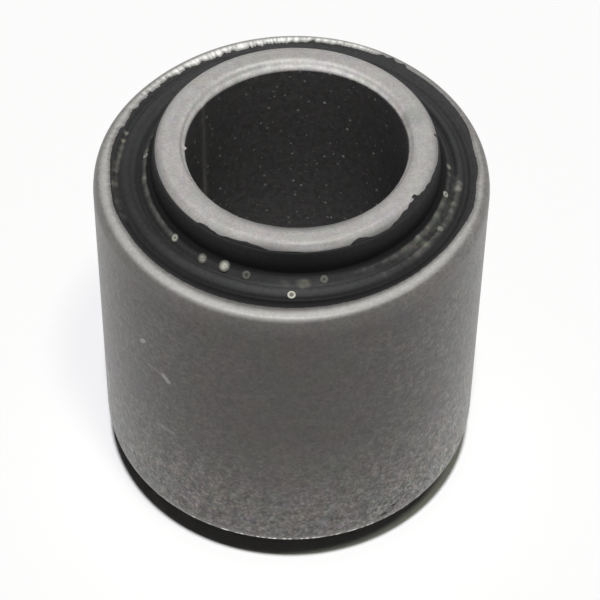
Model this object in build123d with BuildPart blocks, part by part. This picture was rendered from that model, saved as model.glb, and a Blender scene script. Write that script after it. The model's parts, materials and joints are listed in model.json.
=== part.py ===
from build123d import *
import os

os.makedirs("parts", exist_ok=True)

# Rubber-to-metal bush: a rubber element moulded and bonded between two steel sleeves.
# It stands on its axis.  Z runs along the bore, z = 0 is halfway up, and both ends are
# alike.  Its walls are given from the bolt outwards.  Sizes in millimetres.

# ---- Inner sleeve: thick steel tube, clamped end to end by the bolt through it ----
bore_diameter = 20.0
inner_wall = 2.7
inner_length = 40.0
bore_chamfer = 0.6
edge_chamfer = 0.6
inner_offset = 0.4          # the tubes set a little out of true in the mould, towards +X

# ---- Outer sleeve: thin steel tube, pressed into the eye that holds the bush ----
outer_wall = 1.5
outer_length = 32.5
roll_depth = 0.6            # each end is rolled in by this much, as a lead for pressing
roll_length = 1.6           # and the roll starts this far from the end

# ---- Rubber element: its wall between the two sleeves ----
rubber_wall = 3.8

# ---- Rubber element: its two end faces ----
face_recess = 0.05          # flat of the rubber below the outer sleeve's end
land_width = 0.4            # flat against the outer sleeve
groove_width = 0.8          # moulded groove inside that flat
groove_depth = 0.3
ridge_width = 0.9           # low round ridge inside the groove
ridge_height = 0.2
shoulder_width = 0.8        # round shoulder at the foot of the inner sleeve's skin
shoulder_height = 0.75
shoulder_bulge = 0.18
skin_foot = 0.45            # skin of rubber up the inner sleeve, thick at its foot
skin_lip = 0.12             # and thin where it ends
skin_gap = 0.1              # bare steel between that lip and the sleeve's chamfer

# ---- Worked out from those ----
bore_radius = bore_diameter / 2
inner_radius = bore_radius + inner_wall
seat_radius = inner_radius + rubber_wall
outer_radius = seat_radius + outer_wall

inner_end = inner_length / 2
outer_end = outer_length / 2
inner_axis = Axis((inner_offset, 0, 0), (0, 0, 1))

rubber_end = outer_end - face_recess
land_edge = seat_radius - land_width
groove_edge = land_edge - groove_width
ridge_edge = groove_edge - ridge_width
skin_end = inner_end - edge_chamfer - skin_gap


# Outer sleeve: a plain tube whose ends curve in by a quarter of an ellipse, tangent to the
# wall, so that it starts straight in its eye.
with BuildPart() as outer_sleeve:
    with BuildSketch(Plane.XZ):
        with BuildLine():
            wall = Line((outer_radius, 0), (outer_radius, outer_end - roll_length))
            rolled_edge = EllipticalCenterArc(
                (outer_radius - roll_depth, outer_end - roll_length),
                x_radius=roll_depth,
                y_radius=roll_length,
                start_angle=0,
                arc_size=90,
            )
            Polyline(
                rolled_edge @ 1,
                (seat_radius, outer_end),
                (seat_radius, 0),
                wall @ 0,
            )
        make_face()
    revolve(axis=Axis.Z)
    mirror(about=Plane.XY)

outer_sleeve.part.label = "outer_sleeve"
export_step(outer_sleeve.part, "parts/outer_sleeve.step")


# Inner sleeve: a thick tube, longer than the outer one by the same amount at each end, with
# its four end edges chamfered.
with BuildPart() as inner_sleeve:
    with BuildSketch(Plane.XY.offset(-inner_end)):
        with Locations((inner_offset, 0)):
            Circle(inner_radius)
            Circle(bore_radius, mode=Mode.SUBTRACT)
    extrude(amount=inner_length)
    end_edges = inner_sleeve.edges().filter_by(GeomType.CIRCLE).group_by(SortBy.RADIUS)
    chamfer(end_edges[0], length=bore_chamfer)
    chamfer(end_edges[-1], length=edge_chamfer)

inner_sleeve.part.label = "inner_sleeve"
export_step(inner_sleeve.part, "parts/inner_sleeve.step")


# Rubber element: fills the space between the sleeves and is bonded to both.  Its body is
# round the outer sleeve's axis.  The skin that climbs the inner sleeve, with the shoulder at
# its foot, is round the inner sleeve's.
with BuildPart() as rubber_element:
    with BuildSketch(Plane.XZ):
        with BuildLine():
            land = Line((seat_radius, rubber_end), (land_edge, rubber_end))
            groove = SagittaArc(land @ 1, (groove_edge, rubber_end), groove_depth)
            ridge = SagittaArc(groove @ 1, (ridge_edge, rubber_end), -ridge_height)
            Polyline(
                ridge @ 1,
                (0, rubber_end),
                (0, 0),
                (seat_radius, 0),
                land @ 0,
            )
        make_face()
    revolve(axis=Axis.Z)

    with BuildSketch(Plane.XZ):
        with BuildLine():
            foot = (inner_offset + inner_radius + skin_foot, rubber_end + shoulder_height)
            toe = (foot[0] + shoulder_width, rubber_end)
            shoulder = SagittaArc(foot, toe, shoulder_bulge)
            Polyline(
                shoulder @ 1,
                (toe[0], 0),
                (inner_offset, 0),
                (inner_offset, skin_end),
                (inner_offset + inner_radius + skin_lip, skin_end),
                shoulder @ 0,
            )
        make_face()
    revolve(axis=inner_axis)
    mirror(about=Plane.XY)

    with BuildSketch(Plane.XY.offset(-inner_end)):
        with Locations((inner_offset, 0)):
            Circle(inner_radius)
    extrude(amount=inner_length, mode=Mode.SUBTRACT)

rubber_element.part.label = "rubber_element"
export_step(rubber_element.part, "parts/rubber_element.step")
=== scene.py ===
import json
import math

import bpy
import numpy as np
from mathutils import Matrix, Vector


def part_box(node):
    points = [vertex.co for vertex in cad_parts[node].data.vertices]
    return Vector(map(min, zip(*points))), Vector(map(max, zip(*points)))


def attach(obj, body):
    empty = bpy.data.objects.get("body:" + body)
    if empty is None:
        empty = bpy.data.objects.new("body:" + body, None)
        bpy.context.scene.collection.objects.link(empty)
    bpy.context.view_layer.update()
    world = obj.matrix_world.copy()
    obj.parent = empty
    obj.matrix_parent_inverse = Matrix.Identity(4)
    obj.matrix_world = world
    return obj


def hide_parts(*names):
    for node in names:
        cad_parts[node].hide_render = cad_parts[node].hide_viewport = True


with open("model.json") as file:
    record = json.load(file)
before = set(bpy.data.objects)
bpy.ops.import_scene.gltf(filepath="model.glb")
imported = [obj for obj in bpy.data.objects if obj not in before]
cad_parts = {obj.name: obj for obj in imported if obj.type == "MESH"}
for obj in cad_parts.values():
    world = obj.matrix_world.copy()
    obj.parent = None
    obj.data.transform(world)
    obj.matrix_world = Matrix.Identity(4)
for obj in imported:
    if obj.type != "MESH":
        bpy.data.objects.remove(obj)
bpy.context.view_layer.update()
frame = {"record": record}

# ======================================================================================
# Inner sleeve.  A thick steel tube with a welded seam down its bore, cut to length and
# faced in a lathe, with a chamfer on all four end edges.  Its bore keeps a dull dark
# oxide; the faces and chamfers are bare metal.  The bolt through it clamps it.
# ======================================================================================
mm = 0.001

tube_low, tube_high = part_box("inner_sleeve")
tube_axis_x = (tube_low.x + tube_high.x) / 2
tube_radius = (tube_high.x - tube_low.x) / 2
tube_end = tube_high.z
bore_mount = next(m for m in frame["record"]["mounts"] if m["name"] == "bore")
bore_radius = bore_mount["dims"]["r_mm"] * mm
tube_chamfer = tube_end - bore_mount["dims"]["length_mm"] * mm / 2

tube_columns = 720
wall_edge_break = 0.17 * mm     # the edges are rubbed round
face_edge_break = 0.30 * mm
bore_face_break = 0.32 * mm
bore_edge_break = 0.20 * mm
tube_edge_wander = 0.03 * mm    # the chamfers are not quite even
seam_bearing = 238.5            # degrees from the front, towards +X
seam_height = 0.06 * mm
seam_width = 0.32 * mm
burr_bearing = 272.3
burr_height = 0.26 * mm
oxide_depth = 0.05 * mm         # below the bore's chamfer
oxide_zone = 0.9 * mm           # finer rows here, where it starts

# What differs round the turn is given as how much, its bearing and its reach in degrees.
# The bore's chamfers are cut shallower at the front and deeper at the back, the oxide starts lower
# and higher in two places, and the bore's chamfer is painted lightest at the back: partly cleaner
# steel, partly a painted highlight where it faces the lamp.
shallow_cut = (0.26 * mm, 0, 75)
deeper_cut = (0.20 * mm, 212, 34)
oxide_lower = (0.34 * mm, 213, 50)
oxide_higher = (0.20 * mm, 100, 45)
chamfer_clean_and_highlight = (0.75, 196, 61)

# Soil and painted shade: the face is darker round the bore at the front, as painted shade where its
# rounded edge turns away from the lamp; a film lies at the back; the outer chamfer's upper edge is
# darker, mostly at the front; and rubber lies on the chamfer itself, which is wiped thinner in two
# places.
bore_painted_shade = (0.90, 2, 46)
back_soil = (0.14, 192, 42)
outer_edge_darkening = [(0.32, 348, 11), (0.22, 32, 16), (0.07, 9, 12)]
chamfer_soil = 0.5
chamfer_wiped = [(0.4, 308, 22), (0.25, 10, 12)]


def rounded_outline(corners, rounding, runs, steps=7):
    """A closed outline (radius, height) through corners, each one eased by a small curve.

    With C a corner and A, B the points at its own rounding from it along its two sides,
    the curve is (1 - t)^2 A + 2 t (1 - t) C + t^2 B.  Side number i, which leaves corner
    i, is then cut into runs[i] + 1 equal lengths.
    """
    corners = np.asarray(corners, float)
    rounding = np.asarray(rounding, float)[:, None]
    leaving = np.roll(corners, -1, axis=0) - corners
    leaving /= np.linalg.norm(leaving, axis=1, keepdims=True)
    arriving = np.roll(leaving, 1, axis=0)
    before = corners - rounding * arriving
    after = corners + rounding * leaving
    t = np.linspace(0, 1, steps)[:, None]
    pieces = []
    for number, run in enumerate(runs):
        a, c, b = before[number], corners[number], after[number]
        pieces.append((1 - t) ** 2 * a + 2 * t * (1 - t) * c + t ** 2 * b)
        side = np.linspace(b, before[(number + 1) % len(corners)], run + 2)
        pieces.append(side[1:-1])
    return np.concatenate(pieces)


def ripple(bearing, across, size, around, seed):
    """A random field of one grain size that joins up with itself after a full turn.

    The mean of 40 waves cos(n bearing + k across + phase), scaled to unit spread.  Each
    wave has the wavelength `size` in its own random direction on a band of radius
    `around`, so n is rounded to a whole number of waves per turn.
    """
    draw = np.random.default_rng(seed)
    waves = 40
    direction = draw.uniform(0, 2 * np.pi, waves)
    phase = draw.uniform(0, 2 * np.pi, waves)
    n = np.round(2 * np.pi * around / size * np.cos(direction))
    k = 2 * np.pi / size * np.sin(direction)
    field = np.zeros(np.broadcast(bearing, across).shape)
    for wave in range(waves):
        field += np.cos(n[wave] * bearing + k[wave] * across + phase[wave])
    return field * math.sqrt(2 / waves)


def degrees_off(bearing, degrees):
    """How far a bearing lies from one given in degrees, from -180 to 180."""
    return (np.degrees(bearing) - degrees + 180) % 360 - 180


def bump_at(bearing, degrees, reach):
    """A bell curve round the turn: exp(-(a / reach)^2), a = degrees from its own bearing."""
    return np.exp(-(degrees_off(bearing, degrees) / reach) ** 2)


def bumps(bearing, *table):
    """The sum of such curves, each given as how much, its bearing and its reach."""
    return sum(much * bump_at(bearing, degrees, reach) for much, degrees, reach in table)


def smooth_step(value, low, high):
    """3 t^2 - 2 t^3, with t running from 0 at low to 1 at high."""
    t = np.clip((value - low) / (high - low), 0, 1)
    return t * t * (3 - 2 * t)


def bearings(columns):
    """Evenly spaced bearings of one full turn: 0 is the front, -Y, and +X comes next."""
    return np.arange(columns) * 2 * np.pi / columns


def quads(number, across, along):
    """The faces of a grid of point numbers that closes on itself along these two axes."""
    beside = np.roll(number, -1, axis=across)
    corners = [number, beside, np.roll(beside, -1, axis=along), np.roll(number, -1, axis=along)]
    return np.stack(corners, axis=-1)


def make_piece(name, points, faces, masks):
    """A smooth object of quads; each mask is stored in it as one value per point."""
    mesh = bpy.data.meshes.new(name)
    mesh.from_pydata(np.reshape(points, (-1, 3)).tolist(), [], np.reshape(faces, (-1, 4)).tolist())
    mesh.shade_smooth()
    for mask, values in masks.items():
        layer = mesh.attributes.new(mask, "FLOAT", "POINT")
        layer.data.foreach_set("value", np.ascontiguousarray(values, np.float32).ravel())
    piece = bpy.data.objects.new(name, mesh)
    bpy.context.scene.collection.objects.link(piece)
    return piece


def turned_surface(name, radius, height, centre_x, masks):
    """A ring-shaped piece from grids radius[i, j] and height[i, j], closed both ways.

    Point (i, j) = (centre_x + radius sin(b), -radius cos(b), height), where b is bearing
    number j.  Rows i run up the outside, over the top and down the inside, so that each
    face, taken along the row and then up, looks outwards.
    """
    bearing = bearings(radius.shape[1])
    points = np.stack(
        [centre_x + radius * np.sin(bearing), -radius * np.cos(bearing), height], axis=-1
    )
    here = np.arange(radius.size).reshape(radius.shape)
    return make_piece(name, points, quads(here, 1, 0), masks)


def fill(tree, node, inputs):
    """Gives each of these inputs of a node its value, or links it to the socket given."""
    for name, value in inputs.items():
        if isinstance(value, bpy.types.NodeSocket):
            tree.links.new(value, node.inputs[name])
        else:
            node.inputs[name].default_value = value


def add_node(tree, kind, inputs=None, **settings):
    """Adds a shader node with these settings and inputs."""
    made = tree.nodes.new("ShaderNode" + kind)
    for name, value in settings.items():
        setattr(made, name, value)
    fill(tree, made, inputs or {})
    return made


def add_math(tree, operation, *values):
    """One Math node; returns its result."""
    return add_node(tree, "Math", dict(enumerate(values)), operation=operation).outputs[0]


def add_vector_math(tree, operation, *values):
    """One Vector Math node; returns its result, which some operations give as a number."""
    made = add_node(tree, "VectorMath", dict(enumerate(values)), operation=operation)
    is_number = operation in ("DOT_PRODUCT", "DISTANCE", "LENGTH")
    return made.outputs["Value" if is_number else "Vector"]


def add_scaled(tree, vector, factor):
    """A vector times a number; returns the result."""
    return add_node(tree, "VectorMath", {0: vector, "Scale": factor}, operation="SCALE").outputs[0]


def add_ramp(tree, value, low, high, to_low=0.0, to_high=1.0):
    """Maps value smoothly from low..high to to_low..to_high, and holds it outside that."""
    inputs = dict(enumerate([value, low, high, to_low, to_high]))
    return add_node(tree, "MapRange", inputs, interpolation_type="SMOOTHSTEP").outputs[0]


def add_mix(tree, share, first, second, blend="MIX"):
    """Mixes two colours; returns the result."""
    inputs = {0: share, 6: first, 7: second}
    return add_node(tree, "Mix", inputs, data_type="RGBA", blend_type=blend).outputs[2]


def add_tint(tree, colour, *tints):
    """Multiplies a colour by each tint in turn; returns the result."""
    for tint in tints:
        colour = add_mix(tree, 1.0, colour, tint, "MULTIPLY")
    return colour


def add_noise(tree, place, scale, detail):
    """One noise; returns its outputs."""
    return add_node(tree, "TexNoise", {"Vector": place, "Scale": scale, "Detail": detail}).outputs


def add_mask(tree, name):
    """Reads the values that a mesh stores per point under this name."""
    return add_node(tree, "Attribute", attribute_name=name).outputs["Fac"]


def add_height(tree, place):
    """The height, Z, of a place."""
    return add_node(tree, "SeparateXYZ", {0: place}).outputs[2]


def add_bump(tree, shader, height, strength, distance):
    """Bends a shader's normals as relief of this height would."""
    inputs = {"Strength": strength, "Distance": distance, "Height": height}
    fill(tree, shader, {"Normal": add_node(tree, "Bump", inputs).outputs[0]})


def new_group(name, outputs, **inputs):
    """An empty node group: returns it, the sockets of its inputs, and its output node.

    Its first input is Position.  Another one is a vector or a number, as its default value
    is.  The output Tint is a colour, and the rest are numbers.
    """
    group = bpy.data.node_groups.new(name, "ShaderNodeTree")
    for socket, value in {"Position": (0, 0, 0), **inputs}.items():
        kind = "NodeSocketVector" if isinstance(value, tuple) else "NodeSocketFloat"
        group.interface.new_socket(socket, in_out="INPUT", socket_type=kind).default_value = value
    for socket in outputs:
        kind = "NodeSocketColor" if socket == "Tint" else "NodeSocketFloat"
        group.interface.new_socket(socket, in_out="OUTPUT", socket_type=kind)
    given = group.nodes.new("NodeGroupInput").outputs
    return group, given, group.nodes.new("NodeGroupOutput")


def use_group(tree, group, place, **inputs):
    """Uses a node group at a place; returns its outputs."""
    return add_node(tree, "Group", {"Position": place, **inputs}, node_tree=group).outputs


def grain_group():
    """Grain: fine uneven relief and tone, as blasting, oxide or moulding leaves.

    The mean of two noises, one at Size and one 2.3 times as fine.  Tone is 1 on average
    and strays from it by about Contrast.
    """
    group, given, result = new_group("Grain", ["Height", "Tone"], Size=0.2 * mm, Contrast=0.2)
    place = add_scaled(group, given["Position"], add_math(group, "DIVIDE", 1.0, given["Size"]))
    coarse, fine = (add_noise(group, place, scale, 1.0)[0] for scale in (1.0, 2.3))
    height = add_math(group, "MULTIPLY_ADD", fine, 0.5, add_math(group, "MULTIPLY", coarse, 0.5))
    stray = add_math(group, "MULTIPLY", add_math(group, "SUBTRACT", height, 0.5), 4.0)
    tone = add_math(group, "MULTIPLY_ADD", stray, given["Contrast"], 1.0)
    fill(group, result, {"Height": height, "Tone": tone})
    return group


def mottle_group():
    """Mottle: soft patches whose colour drifts, as on blasted or oxidised steel.

    Tint = 1 + Amount (noise colour - 0.5), each channel by itself but pulled together by
    Grey, the share of the drift that is only lighter or darker.
    """
    group, given, result = new_group("Mottle", ["Tint"], Size=1.0 * mm, Amount=0.2, Grey=0.5)
    place = add_scaled(group, given["Position"], add_math(group, "DIVIDE", 1.0, given["Size"]))
    noise = add_noise(group, place, 1.0, 2.0)["Color"]
    grey = add_vector_math(group, "DOT_PRODUCT", noise, (1 / 3, 1 / 3, 1 / 3))
    pulled = add_node(group, "Mix", {0: given["Grey"], 4: noise, 5: grey}, data_type="VECTOR")
    drift = add_vector_math(group, "SUBTRACT", pulled.outputs[1], (0.5, 0.5, 0.5))
    drift = add_scaled(group, drift, given["Amount"])
    fill(group, result, {"Tint": add_vector_math(group, "ADD", drift, (1.0, 1.0, 1.0))})
    return group


def speck_group():
    """Specks: scattered tiny spots, for pits, glints and dust.

    One candidate lies in each cell of a Voronoi pattern of the given Spacing; Share of
    the cells have theirs.  Its radius is up to Size times the spacing, and its strength is
    drawn between a fifth and 1.
    """
    group, given, result = new_group("Specks", ["Mask"], Spacing=1.0 * mm, Size=0.1, Share=0.5)
    place = add_scaled(group, given["Position"], add_math(group, "DIVIDE", 1.0, given["Spacing"]))
    cells = add_node(group, "TexVoronoi", {"Vector": place, "Scale": 1.0}).outputs
    chance = add_node(group, "SeparateColor", {0: cells["Color"]}).outputs
    present = add_math(group, "LESS_THAN", chance[0], given["Share"])
    reach = add_math(group, "MULTIPLY", given["Size"],
                     add_math(group, "MULTIPLY_ADD", chance[1], 0.7, 0.3))
    inside = add_math(group, "DIVIDE", cells["Distance"], reach)
    strength = add_math(group, "POWER", chance[2], 2.0)
    strength = add_math(group, "MULTIPLY_ADD", strength, 0.8, 0.2)
    spot = add_math(group, "MULTIPLY", add_ramp(group, inside, 1.0, 0.5), present)
    fill(group, result, {"Mask": add_math(group, "MULTIPLY", spot, strength)})
    return group


def turning_group():
    """Turning marks: fine rings about the Z axis that a facing tool leaves.

    A noise of (distance from the axis / Pitch, and the direction times 1.5), so each ring
    fades in and out on its way round.
    """
    group, given, result = new_group(
        "Turning marks", ["Height", "Tone"], Pitch=0.1 * mm, Contrast=0.1)
    flat = add_vector_math(group, "MULTIPLY", given["Position"], (1, 1, 0))
    distance = add_vector_math(group, "LENGTH", flat)
    way = add_node(group, "SeparateXYZ", {0: add_vector_math(group, "NORMALIZE", flat)}).outputs
    place = add_node(group, "CombineXYZ", {
        0: add_math(group, "DIVIDE", distance, given["Pitch"]),
        1: add_math(group, "MULTIPLY", way[0], 1.5),
        2: add_math(group, "MULTIPLY", way[1], 1.5)}).outputs[0]
    noise = add_noise(group, place, 1.0, 2.0)[0]
    stray = add_math(group, "SUBTRACT", noise, 0.5)
    contrast = add_math(group, "MULTIPLY", given["Contrast"], 4.0)
    tone = add_math(group, "MULTIPLY_ADD", stray, contrast, 1.0)
    fill(group, result, {"Height": noise, "Tone": tone})
    return group


def mark_group():
    """Mark: a nick, spot or scratch left by a knock.

    The mask goes by the distance from Position to the line from Start to End: it is 1 up
    to 0.4 of Width and fades to 0 at Width.
    """
    group, given, result = new_group(
        "Mark", ["Mask"], Start=(0, 0, 0), End=(0, 0, 0), Width=0.1 * mm)
    along = add_vector_math(group, "SUBTRACT", given["End"], given["Start"])
    there = add_vector_math(group, "SUBTRACT", given["Position"], given["Start"])
    length_squared = add_vector_math(group, "DOT_PRODUCT", along, along)
    share = add_math(group, "DIVIDE", add_vector_math(group, "DOT_PRODUCT", there, along),
                     add_math(group, "MAXIMUM", length_squared, 1e-12))
    share = add_node(group, "Clamp", {0: share}).outputs[0]
    gap = add_vector_math(group, "DISTANCE", there, add_scaled(group, along, share))
    widths_off = add_math(group, "DIVIDE", gap, given["Width"])
    fill(group, result, {"Mask": add_ramp(group, widths_off, 1.0, 0.4)})
    return group


grain = grain_group()
mottle = mottle_group()
specks = speck_group()
turning = turning_group()
mark = mark_group()


def new_material(name):
    """A node material: returns it, its tree and the surface's own Principled shader."""
    material = bpy.data.materials.new(name)
    material.use_nodes = True
    return material, material.node_tree, material.node_tree.nodes["Principled BSDF"]


def inner_steel():
    """Turned bare steel, cleaner and lighter on the bore's chamfers, partly as a painted highlight
    at the back, and oxide where its mask is set.

    It is darker where its mask says: a film at the back, rubber on the chamfer, a darker outer edge
    mostly at the front, and painted shade round the bore at the front.
    """
    bare = (0.376, 0.363, 0.351, 1)
    # lighter steel for the bore's chamfers: partly cleaner metal, partly a painted highlight at the
    # back
    clean = (0.700, 0.686, 0.668, 1)
    # dark colour for the film, the rubber, the darker outer edge and the painted shade round the
    # bore
    soiled_and_shaded = (0.105, 0.103, 0.100, 1)
    stained = (0.300, 0.305, 0.290, 1)
    oxide_colour = (0.062, 0.060, 0.059, 1)
    deep_colour = (0.084, 0.081, 0.080, 1)
    glint = (0.50, 0.50, 0.475, 1)
    seam_colour = (0.300, 0.296, 0.262, 1)
    stain_spot = (tube_axis_x + 10.4 * mm, 3.2 * mm, tube_end)
    material, tree, shader = new_material("turned_steel")
    place = add_node(tree, "TexCoord").outputs["Object"]
    centred = add_vector_math(tree, "SUBTRACT", place, (tube_axis_x, 0, 0))
    rings = use_group(tree, turning, centred, Pitch=0.14 * mm, Contrast=0.05)
    grit = use_group(tree, grain, place, Size=0.26 * mm, Contrast=0.22)
    patches = use_group(tree, mottle, place, Size=0.8 * mm, Amount=0.50, Grey=0.72)["Tint"]
    broad = use_group(tree, mottle, place, Size=3.2 * mm, Amount=0.38, Grey=0.8)["Tint"]
    scale = use_group(tree, grain, place, Size=0.55 * mm, Contrast=0.48)["Tone"]
    sparkle = use_group(tree, specks, place, Spacing=0.64 * mm, Size=0.35, Share=0.90)["Mask"]
    stain = use_group(tree, mark, place, Start=stain_spot, End=stain_spot, Width=1.5 * mm)["Mask"]

    stray = add_math(tree, "SUBTRACT", grit["Height"], 0.5)
    ragged = add_math(tree, "ADD", add_mask(tree, "oxide"), add_math(tree, "MULTIPLY", stray, 1.6))
    dark = add_ramp(tree, ragged, 0.30, 0.75)

    steel = add_mix(tree, stain, add_mix(tree, add_mask(tree, "chamfer"), bare, clean), stained)
    turned = add_tint(tree, steel, rings["Tone"], patches, grit["Tone"], broad)
    turned = add_mix(tree, add_mask(tree, "soil_and_shade"), turned, soiled_and_shaded)
    height = add_height(tree, place)
    scaled = add_mix(tree, add_ramp(tree, height, 12 * mm, -6 * mm), oxide_colour, deep_colour)
    scaled = add_tint(tree, scaled, scale)
    scaled = add_mix(tree, add_math(tree, "POWER", sparkle, 1.7), scaled, glint)
    scaled = add_tint(tree, scaled, patches, patches)
    beaded = add_ramp(tree, grit["Height"], 0.38, 0.62, 0.35, 1.0)
    seam = add_math(tree, "MULTIPLY", add_mask(tree, "seam"), beaded)
    seam = add_math(tree, "MULTIPLY", seam, add_ramp(tree, height, 16 * mm, 4 * mm, 0.45, 1.0))
    colour = add_mix(tree, dark, turned, add_mix(tree, seam, scaled, seam_colour))
    fill(tree, shader, {"IOR": 1.5, "Base Color": colour,
                        "Roughness": add_ramp(tree, dark, 0, 1, 0.68, 0.62),
                        "Metallic": add_ramp(tree, dark, 0, 1, 0.50, 0.0)})
    add_bump(tree, shader, add_math(tree, "ADD", rings["Height"], grit["Height"]), 0.35, 0.02 * mm)
    return material


def inner_sleeve():
    """The tube: a rectangle with cut corners, carried round the tube's own axis."""
    cut = tube_chamfer
    half = [(tube_radius, tube_end - cut), (tube_radius - cut, tube_end),
            (bore_radius + cut, tube_end), (bore_radius, tube_end - cut),
            (bore_radius, tube_end - cut - oxide_zone)]
    breaks = [wall_edge_break, face_edge_break, bore_face_break, bore_edge_break, 0.1 * mm]
    corners = half + [(r, -z) for r, z in reversed(half)]
    runs = [3, 6, 2, 6, 24, 6, 2, 6, 3, 2]
    outline = rounded_outline(corners, breaks + breaks[::-1], runs)
    bearing = bearings(tube_columns)
    radius = np.repeat(outline[:, :1], tube_columns, axis=1)
    height = np.repeat(outline[:, 1:], tube_columns, axis=1)

    # The face's two edges wander a little, where the chamfers run in and out.
    shallow = bumps(bearing, shallow_cut)
    for place, seed, shift in ((tube_radius - cut, 11, 0), (bore_radius + cut, 12, shallow)):
        wander = ripple(bearing, 0, 9 * mm, place, seed)
        wander += 0.5 * ripple(bearing, 0, 2 * mm, place, seed)
        near = np.exp(-((radius - place) / (0.3 * mm)) ** 2)
        near *= smooth_step(np.abs(height), tube_end - cut, tube_end)
        radius += (tube_edge_wander * wander - shift) * near

    # The bore's chamfers run lower down the bore on one side.
    inside = radius < (bore_radius + tube_radius) / 2
    tall = np.abs(height)
    pulled = smooth_step(tall, tube_end - cut - oxide_zone, tube_end - cut)
    pulled *= np.clip((tube_end - tall) / cut, 0, 1)
    height -= np.sign(height) * bumps(bearing, deeper_cut) * pulled * inside

    in_bore = smooth_step(radius, bore_radius + 0.12 * mm, bore_radius)
    seam = bump_at(bearing, seam_bearing, math.degrees(seam_width / bore_radius)) * in_bore
    upper_edge = np.exp(-((height - (tube_end - cut)) / (0.12 * mm)) ** 2)
    burr = bump_at(bearing, burr_bearing, 1.0) * upper_edge * inside
    radius -= seam_height * seam + burr_height * burr

    # The oxide starts just below the bore's chamfer, lower where that was cut deeper.
    oxide_start = cut + oxide_depth + bumps(bearing, oxide_lower) - bumps(bearing, oxide_higher)
    oxide = smooth_step(tube_end - np.abs(height), oxide_start - 0.12 * mm,
                        oxide_start + 0.20 * mm) * inside
    # How much lighter the bore's chamfer is painted: partly cleaner steel, partly a painted
    # highlight, strongest at the back where it faces the lamp.
    cleaned_and_highlit = 0.32 * smooth_step(radius, bore_radius + 1.35 * cut, bore_radius + 0.9 * cut)
    cleaned_and_highlit += 0.68 * smooth_step(radius, bore_radius + 0.62 * cut, bore_radius + 0.30 * cut)
    cleaned_and_highlit *= 0.25 + bumps(bearing, chamfer_clean_and_highlight)
    cleaned_and_highlit *= np.clip(1 + 0.15 * ripple(bearing, 0, 1.3 * mm, bore_radius, 13), 0.4, 1.3)

    # Painted shade round the bore at the front, a film at the back, a darker outer edge mostly at
    # the front, and rubber on the chamfer.
    soil_and_shade = bumps(bearing, bore_painted_shade) * smooth_step(
        radius, bore_radius + 1.25 * mm, bore_radius + 0.35 * mm)
    soil_and_shade = soil_and_shade + bumps(bearing, back_soil)
    soil_and_shade += bumps(bearing, *outer_edge_darkening) * smooth_step(
        radius, tube_radius - 0.75 * mm, tube_radius - 0.55 * mm)
    soil_and_shade += (chamfer_soil - bumps(bearing, *chamfer_wiped)) * smooth_step(
        radius, tube_radius - 0.40 * mm, tube_radius - 0.12 * mm)
    masks = {"oxide": oxide * (1 - burr), "seam": np.clip(seam, 0, 1),
             "chamfer": cleaned_and_highlit * (1 - oxide), "soil_and_shade": np.clip(soil_and_shade, 0, 0.95)}
    return turned_surface("inner_sleeve_turned", radius, height, tube_axis_x, masks)


sleeve = inner_sleeve()
sleeve.data.materials.append(inner_steel())
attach(sleeve, "root")
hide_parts("inner_sleeve")


# ======================================================================================
# Flash line.  Rubber crept out of the mould over the outer sleeve's ends as a thin film
# with a torn edge.  This edge is where the film stops and the worn bright steel starts;
# the sleeve and the film are both made from it.
# ======================================================================================
shell_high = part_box("outer_sleeve")[1]
shell_radius = shell_high.x
shell_end = shell_high.z
seat_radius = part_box("rubber_element")[1].x

# Bearing in degrees and radius in millimetres of the torn edge at the upper end.
torn_edge = [
    (0, 16.34), (30, 16.34), (50, 16.38), (62, 16.50), (75, 16.85), (85, 16.70), (92, 16.90),
    (100, 16.80), (110, 17.15), (130, 17.20), (141.5, 17.18), (143, 17.50), (145.3, 17.25),
    (147.5, 17.62), (149.2, 17.30), (151, 17.50), (153, 17.10), (165, 17.10), (172.6, 16.98),
    (173.5, 17.30), (174.4, 16.95), (180, 16.80), (190, 16.58), (197, 16.48), (203.5, 16.47),
    (206, 16.26), (212, 16.43), (213.5, 16.24), (217, 16.45), (220, 16.26), (225, 16.52),
    (230, 16.27), (234, 16.57), (236, 16.30), (238, 16.56), (240.5, 16.30), (243, 16.57),
    (250, 16.29), (252, 16.60), (262, 16.58), (270, 16.38), (277, 16.36), (287, 16.48),
    (297, 16.36), (310, 16.38), (325, 16.36), (350, 16.34),
]
torn_edge_jitter = 0.035 * mm
torn_teeth = (2.8, 208, 42)             # coarser here: how much, bearing and reach
plain_edge = seat_radius + 0.05 * mm    # the film's edge at the lower end
plain_edge_stray = 0.10 * mm


def joined_up(bearing, table):
    """Straight lines all round between the points of a table: bearing in degrees, value."""
    degrees, value = np.array(table).T
    return np.interp(np.degrees(bearing), degrees, value, period=360)


def upper_flash_edge(bearing):
    """The torn edge's radius: straight lines between its points, plus a fine seeded ripple.

    The ripple is much stronger where the film tore into teeth.
    """
    line = joined_up(bearing, torn_edge) * mm
    fine = ripple(bearing, 0, 0.8 * mm, seat_radius, 21)
    finer = ripple(bearing, 0, 0.32 * mm, seat_radius, 22)
    teeth = 0.4 + bumps(bearing, torn_teeth)
    return line + torn_edge_jitter * teeth * (0.6 * fine + 0.4 * finer)


def lower_flash_edge(bearing):
    """A plain edge at the end that the bush stands on, straying by a seeded ripple."""
    broad = ripple(bearing, 0, 11 * mm, seat_radius, 23)
    fine = ripple(bearing, 0, 1.2 * mm, seat_radius, 24)
    return plain_edge + plain_edge_stray * (0.7 * broad + 0.3 * fine)


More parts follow.
